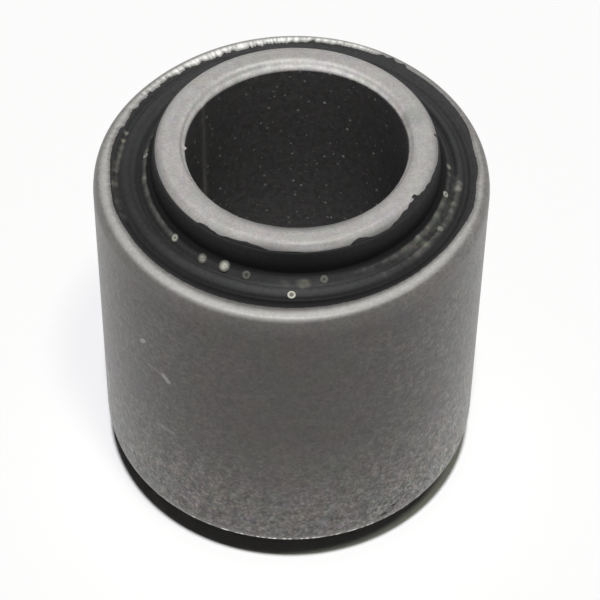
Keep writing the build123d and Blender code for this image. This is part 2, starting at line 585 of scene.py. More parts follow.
# ======================================================================================
# Outer sleeve.  A thin steel tube, each end rolled in by a quarter of an ellipse as a lead for
# pressing.  Shot-blasted to a dull dark grey, then rubbed bright on its rims.  Its colour also
# carries painted highlights on the upper rim, and painted light low on the wall and up its right
# side.
# ======================================================================================
roll_depth = 0.6 * mm
roll_length = 1.6 * mm
roll_slack = (0.34 * mm, 162, 30)   # the upper roll is shallower here, and its rim is
dent = (0.24 * mm, 226, 26)     # knocked in here: how much, bearing and reach
dent_length = 4 * mm            # how far the dent runs down the wall
shell_columns = 960
lip_rounding = 0.06 * mm
lip_reach = 0.30 * mm           # how far the rim's inner edge may turn in over the rubber

# Bearing in degrees, and how bright the upper rim is rubbed there: 1 or more is bare steel, and
# near and above that, mostly at the back, a painted highlight is added.
polish_and_highlight = [
    (0, 0.75), (25, 0.68), (45, 0.62), (65, 0.52), (85, 0.50), (105, 0.48), (120, 0.54),
    (135, 0.62), (148, 0.66), (158, 1.10), (180, 1.12), (197, 1.10), (215, 1.04), (230, 0.80),
    (247, 0.54), (270, 0.54), (290, 0.54), (312, 0.60), (332, 0.70), (350, 0.70),
]

# Stretches of the turn, as bearing and reach.  The rim's bright band reaches furthest out at the
# front and least at the back, partly as a painted highlight where the roll faces the lamp.  The
# wall is smoothest at the front, and more rubbed at the back.
rim_front, rim_back, rim_left = (350, 45), (195, 60), (300, 40)
wall_front, wall_back = (0, 45), (185, 75)

# How much paler the steel is painted, bearing and reach: low on the wall, as painted light from the
# table, and all the way up it on the right, as painted light on that side.
low_painted_light = [(0.07, 25, 45), (0.05, 60, 30)]
right_side_painted_light = (0.14, 68, 24)


def upper_roll_depth(bearing):
    """How deep the upper end is rolled in: less on one side, as a bell curve."""
    return roll_depth - bumps(bearing, roll_slack)


def rim_dent(bearing):
    """How far the upper rim is knocked in: a bell curve round the turn."""
    return bumps(bearing, dent)


def rolled_rim_height(radius, depth, start):
    """Height of the rim above the sleeve's middle: flat, then a quarter ellipse from start."""
    out = np.clip((radius - start) / depth, 0, 1)
    return shell_end - roll_length * (1 - np.sqrt(1 - out ** 2))


def shell_masks(bearing, radius, height, beyond):
    """Where the rims are rubbed bright, with painted highlights on the upper rim, where the
    blasting bit deeper, and where the steel is painted paler: towards the bottom partly as whiter
    grain and partly as painted light from the table, and up the right side as painted light.

    The upper rim is rubbed from the film's torn edge out, and fades with `beyond`, the
    distance past the start of the roll.  On the lower rim a dotted line is rubbed.
    """
    front, back = bump_at(bearing, *rim_front), bump_at(bearing, *rim_back)
    side = 1 - bump_at(bearing, *wall_front)
    edge = upper_flash_edge(bearing)
    scratched = 1 + back * (0.13 * ripple(bearing, 0, 0.55 * mm, seat_radius, 25)
                            + 0.13 * ripple(bearing, 0, 0.3 * mm, seat_radius, 26))
    # The bright band's reach follows the front and the back: partly a painted highlight where the
    # roll faces the lamp.
    bright_from = 0.40 * front + 0.08 * back - 0.42
    bright_to = 0.36 + 0.44 * front - 0.24 * back + 0.14 * bump_at(bearing, *rim_left)
    upper = smooth_step(radius, edge + (0.12 * front - 0.10) * mm,
                        edge + (0.42 + 0.50 * front) * mm)
    upper *= joined_up(bearing, polish_and_highlight) * scratched
    upper *= smooth_step(beyond, bright_to * mm, bright_from * mm)
    fading = 0.09 + 0.06 * side + 0.18 * bump_at(bearing, *wall_back)
    upper = np.maximum(upper, fading * smooth_step(beyond, 3.0 * mm, 0.5 * mm))
    dotted = np.clip(0.6 + 0.6 * ripple(bearing, 0, 0.5 * mm, shell_radius, 27), 0, 1.4)
    lower = 1.15 * dotted * np.exp(-((beyond - 0.56 * mm) / (0.22 * mm)) ** 2)

    # Paler towards the bottom: partly whiter grain, partly painted light from the table; paler up
    # the right side as painted light.
    low = smooth_step(height, 1 * mm, -shell_end)
    smoother = 1 - 0.65 * smooth_step(height, 11 * mm, 14.5 * mm)
    return {"wear_and_highlight": np.where(height > 0, upper, lower),
            "coarse": 0.75 * side * smoother + 0.45 * low,
            "pale": low * (0.26 + bumps(bearing, *low_painted_light)) + bumps(bearing, right_side_painted_light)}


def outer_sleeve():
    """The shell: the wall with a rolled rim at each end, carried round the Z axis."""
    bearing = bearings(shell_columns)
    turn = np.linspace(0, np.pi / 2, 15)[:, None]
    ease = np.linspace(0, np.pi / 2, 6)[:, None]
    roll_height = shell_end - roll_length + roll_length * np.sin(turn)
    upper_depth, lower_depth = upper_roll_depth(bearing), np.full(shell_columns, roll_depth)
    knocked = rim_dent(bearing)
    upper_start = shell_radius - knocked - upper_depth
    lower_start = shell_radius - lower_depth

    def rim(edge, start, depth):
        """From the foot of the roll, over the rim, round its inner edge to the wall."""
        lip = np.clip(edge, seat_radius - lip_reach, seat_radius)
        flat = np.linspace(1, 0, 8)[1:-1, None]
        finish = lip + lip_rounding
        over = finish + (start - finish) * flat
        lip_radius = lip + lip_rounding * (1 - np.sin(ease))
        lip_height = shell_end - lip_rounding * (1 - np.cos(ease))
        under = np.stack([lip, np.full_like(lip, seat_radius), np.full_like(lip, seat_radius)])
        under_height = shell_end - np.array([[0.16], [0.3], [0.8]]) * mm
        wide = [start + depth * np.cos(turn), over, lip_radius, under]
        heights = [roll_height, shell_end, lip_height, under_height]
        tall = [np.broadcast_to(h, w.shape) for h, w in zip(heights, wide)]
        return np.concatenate(wide), np.concatenate(tall)

    upper_radius, upper_height = rim(upper_flash_edge(bearing), upper_start, upper_depth)
    lower_radius, lower_height = rim(lower_flash_edge(bearing), lower_start, lower_depth)
    foot = shell_end - roll_length
    wall_height = np.linspace(-foot, foot, 34)[1:-1, None]
    wall = shell_radius - knocked * smooth_step(wall_height, foot - dent_length, foot)
    radius = np.concatenate([wall, upper_radius, lower_radius[::-1]])
    height = np.concatenate([np.broadcast_to(wall_height, wall.shape), upper_height,
                             -lower_height[::-1]])

    # How far a point lies beyond the start of the roll, and before it as a negative.
    past = radius - np.where(height > 0, upper_start, lower_start)
    beyond = np.where(past > 0, np.hypot(past, shell_end - np.abs(height)), past)
    masks = shell_masks(bearing, radius, height, beyond)
    return turned_surface("outer_sleeve_blasted", radius, height, 0.0, masks)


def on_wall(bearing, height):
    """The point of the outer wall at a bearing in degrees and a height in millimetres."""
    b = math.radians(bearing)
    return (shell_radius * math.sin(b), -shell_radius * math.cos(b), height * mm)


# Knocks on the outer wall: bearing and height of their start and of their end, width in
# millimetres, how light (up to 1) or dark (down to -1).
wall_marks = [
    (313.2, 6.8, 311.9, 6.4, 0.30, 0.55), (315.0, 3.9, 320.4, 3.8, 0.26, 0.13),
    (320.9, 3.8, 322.3, 3.4, 0.44, 0.50), (317.3, -4.0, 323.2, -3.9, 0.34, 0.18),
    (302.5, -12.5, 303.0, -12.6, 0.34, 0.80), (284.9, -7.2, 284.7, -9.6, 0.26, 0.90),
    (336.2, -9.0, 336.5, -9.0, 0.24, 0.18), (351.5, -3.7, 352.0, -3.8, 0.22, 0.12),
    (30.2, -14.8, 31.2, -14.8, 0.34, -1.0), (33.8, -14.1, 34.5, -14.1, 0.28, -1.0),
]


def blasted_steel():
    """Dull grey blasted steel, rougher and paler by its masks, the paler partly painted light, and
    rubbed bright by its wear mask, which also paints highlights on the rim.
    """
    dull = (0.0635, 0.0578, 0.0542, 1)
    paler = (0.34, 0.325, 0.31, 1)
    bright = (0.66, 0.652, 0.622, 1)
    # painted highlight on the rubbed rim, mostly at the back
    highlight_white = (0.97, 0.965, 0.95, 1)
    pale_mark = (0.60, 0.59, 0.56, 1)
    dark_mark = (0.004, 0.004, 0.004, 1)
    glint = (0.80, 0.79, 0.76, 1)
    material, tree, shader = new_material("blasted_steel")
    place = add_node(tree, "TexCoord").outputs["Object"]
    wear_and_highlight, coarse = add_mask(tree, "wear_and_highlight"), add_mask(tree, "coarse")
    contrast = add_math(tree, "MULTIPLY_ADD", coarse, 1.35, 0.35)
    blotches = add_math(tree, "MULTIPLY_ADD", coarse, 1.7, 0.5)
    grit = use_group(tree, grain, place, Size=0.30 * mm, Contrast=contrast)
    lumps = use_group(tree, grain, place, Size=0.85 * mm, Contrast=contrast)["Tone"]
    cloud = use_group(tree, mottle, place, Size=0.6 * mm, Amount=blotches, Grey=0.6)["Tint"]
    broad = use_group(tree, mottle, place, Size=3.5 * mm, Amount=0.8, Grey=0.6)["Tint"]
    pits = use_group(tree, specks, place, Spacing=0.9 * mm, Size=0.22, Share=0.5)["Mask"]
    glints = use_group(tree, specks, place, Spacing=0.6 * mm, Size=0.26, Share=0.8)["Mask"]
    rubbing = use_group(tree, mottle, place, Size=0.7 * mm, Amount=0.32, Grey=0.85)["Tint"]

    stray = add_math(tree, "SUBTRACT", grit["Height"], 0.5)
    share = add_math(tree, "MULTIPLY", wear_and_highlight, add_math(tree, "MULTIPLY_ADD", stray, 0.6, 1.0))
    share = add_node(tree, "Clamp", {0: share}).outputs[0]

    colour = add_mix(tree, add_mask(tree, "pale"), dull, paler)
    colour = add_tint(tree, colour, grit["Tone"], lumps, cloud, broad)
    pitted = add_math(tree, "MULTIPLY", pits, add_math(tree, "MULTIPLY", coarse, 0.9))
    colour = add_mix(tree, pitted, colour, dark_mark)
    bitten = add_math(tree, "MULTIPLY", coarse, coarse)
    shiny = add_math(tree, "MULTIPLY", glints, add_math(tree, "MULTIPLY_ADD", bitten, 0.55, 0.01))
    colour = add_mix(tree, shiny, colour, glint)
    sunk = 0.0
    for start_bearing, start_height, end_bearing, end_height, width, light in wall_marks:
        knock = use_group(tree, mark, place, Start=on_wall(start_bearing, start_height),
                          End=on_wall(end_bearing, end_height), Width=width * mm)["Mask"]
        strength = add_math(tree, "MULTIPLY", knock, abs(light))
        colour = add_mix(tree, strength, colour, pale_mark if light > 0 else dark_mark)
        sunk = sunk if light > 0 else add_math(tree, "MAXIMUM", strength, sunk)
    # Where the wear mask runs high, mostly at the back, the rim turns to a painted highlight.
    flecks = add_math(tree, "MULTIPLY_ADD", grit["Height"], 0.6, wear_and_highlight)
    rim_colour = add_mix(tree, add_ramp(tree, flecks, 1.15, 1.65),
                         add_tint(tree, bright, rubbing), highlight_white)
    metal = add_ramp(tree, add_height(tree, place), -14 * mm, -15 * mm, 0.25, 1.0)
    metal = add_math(tree, "MAXIMUM", add_math(tree, "MULTIPLY", share, metal), sunk)
    fill(tree, shader, {"IOR": 1.5, "Specular Tint": (1.0, 0.955, 0.93, 1),
                        "Base Color": add_mix(tree, share, colour, rim_colour),
                        "Roughness": add_ramp(tree, share, 0, 0.5, 0.34, 0.66),
                        "Metallic": metal})
    relief = add_math(tree, "MULTIPLY", grit["Height"],
                      add_math(tree, "MULTIPLY_ADD", coarse, 1.1, 0.25))
    add_bump(tree, shader, relief, 0.7, 0.08 * mm)
    return material


shell = outer_sleeve()
shell.data.materials.append(blasted_steel())
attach(shell, "root")
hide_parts("outer_sleeve")


# ======================================================================================
# Rubber element.  One black moulding between the two sleeves, bonded to both.  Each face
# has a flat land at the outer sleeve, a groove, a low round ridge and a shoulder, from
# which a thin skin climbs the inner sleeve and here and there creeps over its chamfer.
# ======================================================================================
rubber_columns = 792
face_height = shell_end - 0.05 * mm
groove_middle, groove_half, groove_depth = seat_radius - 0.65 * mm, 0.45 * mm, 0.30 * mm
ridge_middle, ridge_half, ridge_height = seat_radius - 1.45 * mm, 0.62 * mm, 0.20 * mm
crease_middle, crease_half, crease_depth = tube_radius + 1.65 * mm, 0.36 * mm, 0.09 * mm
film_root = seat_radius - 0.20 * mm         # the groove stops short of the film on the land
groove_pull, ridge_pull, crease_pull = 0.54 * mm, 0.70 * mm, 0.42 * mm
shoulder_foot = tube_radius + 1.48 * mm     # about the inner sleeve's axis
shoulder_top = tube_radius + 0.45 * mm
shoulder_height = 0.75 * mm
skin_lip = 0.12 * mm
skin_end = tube_end - tube_chamfer - 0.1 * mm
creep_film = 0.018 * mm

# Stretches of the turn, as bearing and reach: where the rings and the crease are pulled
# in, and where the crease fades.
rings_pulled, crease_pulled, crease_faded = (352, 55), (0, 50), (0, 28)

# The caked dust lies about one bearing: full as far as this from it, and none past that.
crust_bearing, crust_full, crust_none = 275, 18, 26

# Bloom, with painted shade and highlight: where the folds and the front of the skin are darkened as
# painted shade, where the shoulder is darker, where the crease has no painted shade, where the
# ridge carries a painted highlight, and how the rest drifts round the turn.
folds_shaded, skin_front_shaded, shoulder_darker = (0, 78), (0, 22), (0, 35)
crease_unshaded, ridge_highlight = (0, 60), (355, 32)
bloom_level = 0.66
bloom_drift = [(-0.14, 285, 30), (0.10, 130, 28), (0.10, 205, 24)]

# Bearing in degrees, and how far up the chamfer the skin creeps there, in millimetres.
creep = [
    (0, 0.05), (4, 0), (22, 0), (24, 0.18), (26.5, 0.24), (30, 0.05), (34, 0), (40, 0), (44, 0.10),
    (50, 0.28), (55, 0.42), (57.5, 0.58), (59.5, 0.46), (63, 0.24), (70, 0.13), (78, 0.08), (84, 0),
    (95.3, 0), (96.5, 0.40), (97.8, 0), (162.5, 0), (164, 0.22), (165.6, 0), (317, 0),
    (320.5, 0.14), (325, 0.08), (328, 0.03), (333, 0.08), (340, 0.17), (345, 0.12), (350, 0),
    (357, 0.04),
]


def swell(value, middle, half):
    """A raised cosine, (1 + cos(pi t)) / 2, where t runs from 0 at middle to 1 at half away."""
    t = np.clip(np.abs(value - middle) / half, 0, 1)
    return 0.5 + 0.5 * np.cos(np.pi * t)


def moulded_rings(bearing):
    """Radii of the groove's, the ridge's and the crease's middle lines at a bearing.

    The mould sat out of true, so each is nearer to the middle at the front, by its own
    pull times a bell curve.  The crease is round the inner sleeve's axis.
    """
    nearer = bump_at(bearing, *rings_pulled)
    return (groove_middle - groove_pull * nearer, ridge_middle - ridge_pull * nearer,
            crease_middle - crease_pull * bump_at(bearing, *crease_pulled))


def face_relief(x, y):
    """Height of the upper moulded face at (x, y).

    The groove and the ridge are raised cosines of the distance from the bush's axis.  The
    crease and the shoulder go by the distance from the inner sleeve's: the shoulder is
    1 - (1 - u)^1.8, with u eased in from 0 at its foot to 1 at its top.
    """
    out = np.hypot(x, y)
    away = np.hypot(x - tube_axis_x, y)
    bearing = np.arctan2(x, -y)
    groove, ridge, crease = moulded_rings(bearing)
    groove_out = np.where(out > groove, film_root - groove, groove_half)
    moulded = ridge_height * swell(out, ridge, ridge_half)
    moulded = moulded - groove_depth * swell(out, groove, groove_out)
    fading = 1 - 0.8 * bump_at(bearing, *crease_faded)
    moulded = moulded - crease_depth * fading * swell(away, crease, crease_half)
    t = np.clip((shoulder_foot - away) / (shoulder_foot - shoulder_top), 0, 1)
    eased = 1.1 * t * t / (t + 0.1)
    return face_height + moulded + shoulder_height * (1 - (1 - eased) ** 1.8)


def creep_height(bearing):
    """How far the skin creeps up the chamfer: its points joined up, with a fine ripple."""
    fine = ripple(bearing, 0, 0.9 * mm, tube_radius, 31)
    return np.clip(joined_up(bearing, creep) * mm * (1 + 0.12 * fine), 0, tube_chamfer)


def rubber_face(bearing, climbed, face_rows, film_rows, crust):
    """Rows of one end face, from the outer sleeve's wall to the inner sleeve's.

    Returns radius, height and centre_x.  The rows over the moulding are circles whose
    centre slides from one axis to the other, face_rows of them in each of three parts;
    climbed is the skin's creep, and crust the height of the dusty lumps on the land.
    """
    columns = len(bearing)
    crossing_out, crossing_in = seat_radius - 1.75 * mm, shoulder_foot + 0.15 * mm
    shell_part = np.linspace(seat_radius, crossing_out, face_rows * 3 // 2)
    crossing = np.linspace(crossing_out, crossing_in, face_rows // 2 + 2)[1:-1]
    tube_part = np.linspace(crossing_in, shoulder_top, face_rows)
    centre = np.concatenate([np.zeros(len(shell_part)),
                             tube_axis_x * (crossing_out - crossing) / (crossing_out - crossing_in),
                             np.full(len(tube_part), tube_axis_x)])
    out = np.concatenate([shell_part, crossing, tube_part])[:, None]
    x = centre[:, None] + out * np.sin(bearing)
    y = -out * np.cos(bearing)
    radius = np.repeat(out, columns, axis=1)
    height = face_relief(x, y)
    height = height + crust(bearing, np.hypot(x, y))

    # The skin up the sleeve's wall, and its rounded lip.
    wall = np.linspace((shoulder_top, face_height + shoulder_height),
                       (tube_radius + skin_lip, skin_end - 0.06 * mm), face_rows // 2)[1:]
    lip = np.array([[tube_radius + 0.6 * skin_lip, skin_end]])
    skin = np.concatenate([wall, lip])
    skin_radius = np.repeat(skin[:, :1], columns, axis=1)
    skin_height = np.repeat(skin[:, 1:], columns, axis=1)

    # The film that creeps on over the sleeve: up its wall, then along its chamfer.
    bare_wall = tube_end - tube_chamfer - skin_end
    length = 0.02 * mm + climbed * math.sqrt(2) + bare_wall * smooth_step(climbed, 0, 0.1 * mm)
    run = np.linspace(0, 1, film_rows)[:, None] * length
    on_chamfer = np.clip(run - bare_wall, 0, None) / math.sqrt(2)
    stands = creep_film * np.sqrt(np.clip(1 - (run / length) ** 4, 0, 1))
    film_radius = tube_radius + stands - on_chamfer
    film_height = skin_end + np.minimum(run, bare_wall) + on_chamfer + stands * (on_chamfer > 0)
    film_height = np.minimum(film_height, tube_end - 0.004 * mm)
    root = np.full((1, columns), seat_radius)
    back = np.full((2, columns), tube_radius - 0.01 * mm)
    back_height = np.stack([np.full(columns, skin_end), np.full(columns, skin_end - 1 * mm)])
    radius = np.concatenate([root, radius, skin_radius, film_radius, back])
    height = np.concatenate([root * 0 + face_height - 0.4 * mm, height, skin_height, film_height,
                             back_height])
    centre = np.concatenate([[0], centre, np.full(len(radius) - 1 - len(centre), tube_axis_x)])
    return radius, height, centre[:, None]


def upper_crust(bearing, out):
    """Lumps of dust caked on the land and in the groove, mostly on the left."""
    where = smooth_step(out, 15.4 * mm, 15.7 * mm) * smooth_step(out, 16.45 * mm, 16.3 * mm)
    away = np.abs(degrees_off(bearing, crust_bearing))
    where = where * smooth_step(away, crust_none, crust_full)
    lumps = np.clip(ripple(bearing, out, 0.60 * mm, seat_radius, 41), 0, 1.5)
    return (0.10 + 0.015 * lumps) * mm * where


def no_crust(bearing, out):
    """The end that the bush stands on is clean."""
    return np.zeros_like(out)


def bloom_and_shade_mask(bearing, out, away, height):
    """How grey the rubber is: bloom, most on the ridge and least on the skin, with painted shade in
    its folds and at the front of the skin, and a painted highlight on the ridge at the front.

    Each fold is a raised cosine across its ring, deep on the side of its painted shade.
    """
    groove, ridge, crease = moulded_rings(bearing)
    rise = np.abs(height) - face_height
    fade = (0.60 + 0.14 * bump_at(bearing, 15, 70)) * mm
    on_face = smooth_step(rise, fade, fade - 0.26 * mm)
    # painted shade in the folds, strongest at the front
    fold_shade = bump_at(bearing, *folds_shaded)
    on_shoulder = smooth_step(away, 14.0 * mm, 13.4 * mm)
    bloom_and_shade = bloom_level + bumps(bearing, *bloom_drift)
    # painted highlight on the ridge at the front
    bloom_and_shade = bloom_and_shade + 0.27 * bump_at(bearing, *ridge_highlight) * swell(out, ridge, 0.55 * mm)
    bloom_and_shade = bloom_and_shade * (1 - 0.25 * bump_at(bearing, *shoulder_darker) * on_shoulder)
    bloom_and_shade = bloom_and_shade * (1 - 0.86 * fold_shade * swell(out, groove, 0.68 * mm))
    bloom_and_shade = bloom_and_shade * (1 - 0.50 * fold_shade * smooth_step(out, groove, groove + 0.4 * mm))
    # painted shade in the crease, none at the front
    crease_shade = 1 - bump_at(bearing, *crease_unshaded)
    bloom_and_shade = bloom_and_shade * (1 - 0.62 * crease_shade * swell(away, crease, 0.5 * mm))
    # the skin is greyer near its lip, with painted shade at the front
    on_skin = 0.50 * smooth_step(np.abs(height), skin_end - 2.2 * mm, skin_end - 0.3 * mm)
    on_skin = on_skin * (1 - 0.6 * bump_at(bearing, *skin_front_shaded))
    return np.clip(on_face * bloom_and_shade + (1 - on_face) * on_skin, 0, 1)


# Bands of dust, round the inner sleeve's axis and round the Z axis: how thick, from 0 to 1; middle
# bearing and reach in degrees; distance from the axis, width, and how far the band is drawn in at
# its front end, in mm.  The first band, along the shoulder's foot on the left, is partly dust and
# partly a painted highlight.
bands_round_sleeve = [
    (0.58, 284, 28, 13.66, 0.30, 0), (0.46, 52, 34, 13.72, 0.38, 0.12),
    (0.14, 2, 12, 13.80, 0.36, 0),
]
bands_round_bush = [
    (0.32, 277, 20, 16.02, 0.36, 0), (0.38, 63, 30, 14.96, 0.50, 0),
    (0.42, 262, 8, 15.72, 0.26, 0),
]
band_drawn = (30, 15)           # its bearing and reach

# Spots of dust: bearing in degrees, distance from the Z axis and half width in mm, and how
# thick, from 0 to 1.
dust_spots = [
    (82.2, 15.10, 0.36, 0.75), (84.8, 15.30, 0.24, 0.40), (75.0, 14.96, 0.24, 0.28),
    (71.0, 15.04, 0.30, 0.24), (61.9, 14.98, 0.26, 0.34), (53.0, 14.80, 0.38, 0.55),
    (33.0, 14.90, 0.40, 0.20), (52.4, 13.88, 0.28, 0.46), (45.0, 13.68, 0.30, 0.42),
    (58.6, 13.90, 0.34, 0.22), (65.5, 14.10, 0.30, 0.26), (254.0, 13.20, 0.30, 0.32),
    (87.6, 14.24, 0.22, 0.34), (92.0, 14.22, 0.24, 0.60), (35.0, 13.74, 0.34, 0.24),
    (3.2, 13.90, 0.50, 0.46), (356.5, 13.98, 0.45, 0.34), (8.5, 13.92, 0.40, 0.22),
    (330.0, 13.60, 0.40, 0.20), (276.0, 13.36, 0.20, 0.45), (262.0, 13.30, 0.28, 0.40),
    (256.2, 15.88, 0.22, 0.72), (252.6, 15.88, 0.26, 0.90), (276.4, 16.04, 0.34, 0.30),
    (270.5, 16.00, 0.30, 0.22), (284.0, 16.05, 0.36, 0.22), (291.0, 16.00, 0.36, 0.20),
    (301.0, 16.05, 0.22, 0.20), (222.0, 15.30, 0.24, 0.30),
]


def dust_and_highlight_mask(bearing, out, away, height):
    """Where pale dust clings to the upper face, with a painted highlight in the band along the
    shoulder's foot on the left: bands, each over its own arc, and spots.

    A band is exp(-((r - middle) / width)^2), times exp(-((bearing - middle) / reach)^4).
    A spot is exp(-(distance / half width)^2).
    """
    drawn = bump_at(bearing, *band_drawn)
    dust_and_highlight = 0
    for r, bands in ((away, bands_round_sleeve), (out, bands_round_bush)):
        for thickness, band_bearing, reach, middle, width, pull in bands:
            turned = degrees_off(bearing, band_bearing) / reach
            across = (r - (middle - pull * drawn) * mm) / (width * mm)
            dust_and_highlight = dust_and_highlight + thickness * np.exp(-turned ** 4) * np.exp(-across ** 2)
    for spot_bearing, place, half, thickness in dust_spots:
        turned = np.radians(degrees_off(bearing, spot_bearing)) * place * mm
        from_spot = np.hypot(out - place * mm, turned) / (half * mm)
        dust_and_highlight = dust_and_highlight + thickness * np.exp(-from_spot ** 2)
    return np.clip(dust_and_highlight, 0, 1) * smooth_step(height, face_height + 0.72 * mm,
                                             face_height + 0.52 * mm) * (height > 0)


def rubber_masks(bearing, radius, height, centre):
    """The masks of a turned surface of rubber, from its distances to the two axes."""
    x = centre + radius * np.sin(bearing)
    y = -radius * np.cos(bearing)
    out, away = np.hypot(x, y), np.hypot(x - tube_axis_x, y)
    return {"dust_and_highlight": dust_and_highlight_mask(bearing, out, away, height),
            "bloom_and_shade": bloom_and_shade_mask(bearing, out, away, height)}


def rubber_element():
    """Both end faces, joined by the two hidden walls that are bonded to the sleeves."""
    bearing = bearings(rubber_columns)
    top = rubber_face(bearing, creep_height(bearing), 18, 10, upper_crust)
    low = rubber_face(bearing, np.zeros(rubber_columns), 12, 4, no_crust)
    radius = np.concatenate([top[0], low[0][::-1]])
    height = np.concatenate([top[1], -low[1][::-1]])
    centre = np.concatenate([top[2], low[2][::-1]])
    masks = rubber_masks(bearing, radius, height, centre)
    return turned_surface("rubber_moulding", radius, height, centre, masks)


def black_rubber():
    """Black rubber, greyer where its bloom mask says, which also paints shade into the folds and a
    highlight on the ridge, and dusty where its dust mask says, which also paints a highlight along
    the shoulder's foot.
    """
    black = (0.0045, 0.0045, 0.005, 1)
    bloomed = (0.060, 0.060, 0.0605, 1)
    dust = (0.275, 0.270, 0.232, 1)
    material, tree, shader = new_material("black_rubber")
    place = add_node(tree, "TexCoord").outputs["Object"]
    skin = use_group(tree, grain, place, Size=0.35 * mm, Contrast=0.25)
    film = use_group(tree, mottle, place, Size=2.2 * mm, Amount=0.5, Grey=0.8)["Tint"]
    lumps = use_group(tree, grain, place, Size=1.3 * mm, Contrast=0.6)["Height"]
    drift = use_group(tree, mottle, place, Size=0.9 * mm, Amount=0.7, Grey=0.4)["Tint"]

    # dust, with a painted highlight along the shoulder's foot on the left
    dust_and_highlight = add_mask(tree, "dust_and_highlight")
    stray = add_math(tree, "SUBTRACT", lumps, 0.5)
    gathered = add_math(tree, "MULTIPLY_ADD", stray, 1.0, dust_and_highlight)
    clinging = add_math(tree, "MULTIPLY", add_ramp(tree, gathered, 0.10, 1.15),
                        add_ramp(tree, dust_and_highlight, 0.0, 0.30))
    # grey where bloomed, darker where shade is painted, lighter where a highlight is painted
    colour = add_mix(tree, add_mask(tree, "bloom_and_shade"), black, bloomed)
    colour = add_tint(tree, colour, skin["Tone"], film)
    powdered = add_math(tree, "MULTIPLY", clinging, 0.8)
    fill(tree, shader, {"IOR": 1.5, "Specular IOR Level": 0.08,
                        "Base Color": add_mix(tree, powdered, colour, add_tint(tree, dust, drift)),
                        "Roughness": add_ramp(tree, clinging, 0, 1, 0.52, 0.8)})
    relief = add_math(tree, "MULTIPLY_ADD", clinging, 0.6, skin["Height"])
    add_bump(tree, shader, relief, 0.4, 0.05 * mm)
    return material


rubber_finish = black_rubber()
rubber = rubber_element()
rubber.data.materials.append(rubber_finish)
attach(rubber, "root")
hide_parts("rubber_element")


# ======================================================================================
# Flash.  The thin film of rubber on each rim of the outer sleeve, torn off at its edge
# when the moulding was trimmed.
# ======================================================================================
flash_columns = 1440
flash_thickness = 0.03 * mm


def flash_film(name, edge, side, seed):
    """A film from the rubber's land over the rim to its edge, rounded off and closed below.

    Its upper side stands thickness * sqrt(1 - t^6) above what it lies on, where t runs
    from 0 at its root to 1 at its edge; its underside is sunk 0.02 mm into it.
    """
    bearing = bearings(flash_columns)
    reach = edge(bearing)
    depth, start = roll_depth, shell_radius - roll_depth
    if side > 0:
        depth = upper_roll_depth(bearing)
        start = shell_radius - rim_dent(bearing) - depth
    t = np.linspace(0, 1, 22)[:, None] ** 0.8
    radius = film_root + t * (reach - film_root)
    on_steel = smooth_step(radius, seat_radius - 0.10 * mm, seat_radius + 0.02 * mm)
    base = face_height + (rolled_rim_height(radius, depth, start) - face_height) * on_steel
    uneven = 1 + 0.35 * ripple(bearing, radius, 0.7 * mm, seat_radius, seed)
    stands = flash_thickness * np.clip(uneven, 0.4, 1.6) * np.sqrt(np.clip(1 - t ** 6, 0, 1))
    stands = stands * smooth_step(t, 0, 0.25) - 0.012 * mm * smooth_step(t, 0.9, 1)
    crust = upper_crust(bearing, radius) if side > 0 else 0
    above = base + stands + crust - 0.01 * mm * (1 - smooth_step(t, 0, 0.25))
    below = base - 0.02 * mm
    radius_grid = np.concatenate([radius[::-1], radius])
    height_grid = np.concatenate([above[::-1], below])
    if side < 0:
        radius_grid, height_grid = radius_grid[::-1], -height_grid[::-1]
    masks = rubber_masks(bearing, radius_grid, height_grid, 0.0)
    piece = turned_surface(name, radius_grid, height_grid, 0.0, masks)
    piece.data.materials.append(rubber_finish)
    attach(piece, "root")


flash_film("upper_flash", upper_flash_edge, 1, 51)
flash_film("lower_flash", lower_flash_edge, -1, 52)


# ======================================================================================
# Drops.  Small rings and spots on the upper face, coloured pale as painted highlights that stand in
# for small glints on the rubber.  Each is a thin skin with a raised ring, and sits on the rubber.
# ======================================================================================
# Bearing in degrees; distance from the Z axis, ring radius and half width of the ring in mm; how
# pale the painted highlight is, from 0 to 1.
drops = [
    (310.4, 13.44, 0.19, 0.13, 0.58), (325.1, 13.53, 0.13, 0.21, 0.39),
    (334.4, 13.40, 0.14, 0.24, 0.66), (343.5, 13.58, 0.26, 0.10, 0.13),
    (0.4, 14.84, 0.27, 0.085, 1.00), (12.3, 13.76, 0.22, 0.12, 0.17),
    (61.9, 14.98, 0.10, 0.17, 0.26), (77.4, 14.14, 0.20, 0.10, 0.64),
    (91.4, 14.20, 0.11, 0.15, 0.34), (264.6, 13.32, 0.17, 0.10, 0.50),
]
drop_reach = 1.7                # a drop ends this many half widths outside its ring
drop_hole = 0.008 * mm          # it closes to a pinprick in the middle
ring_height = 0.04 * mm
skim_height = 0.008 * mm        # the dried skin inside the ring
skim_share = 0.22               # and how pale that is beside the ring


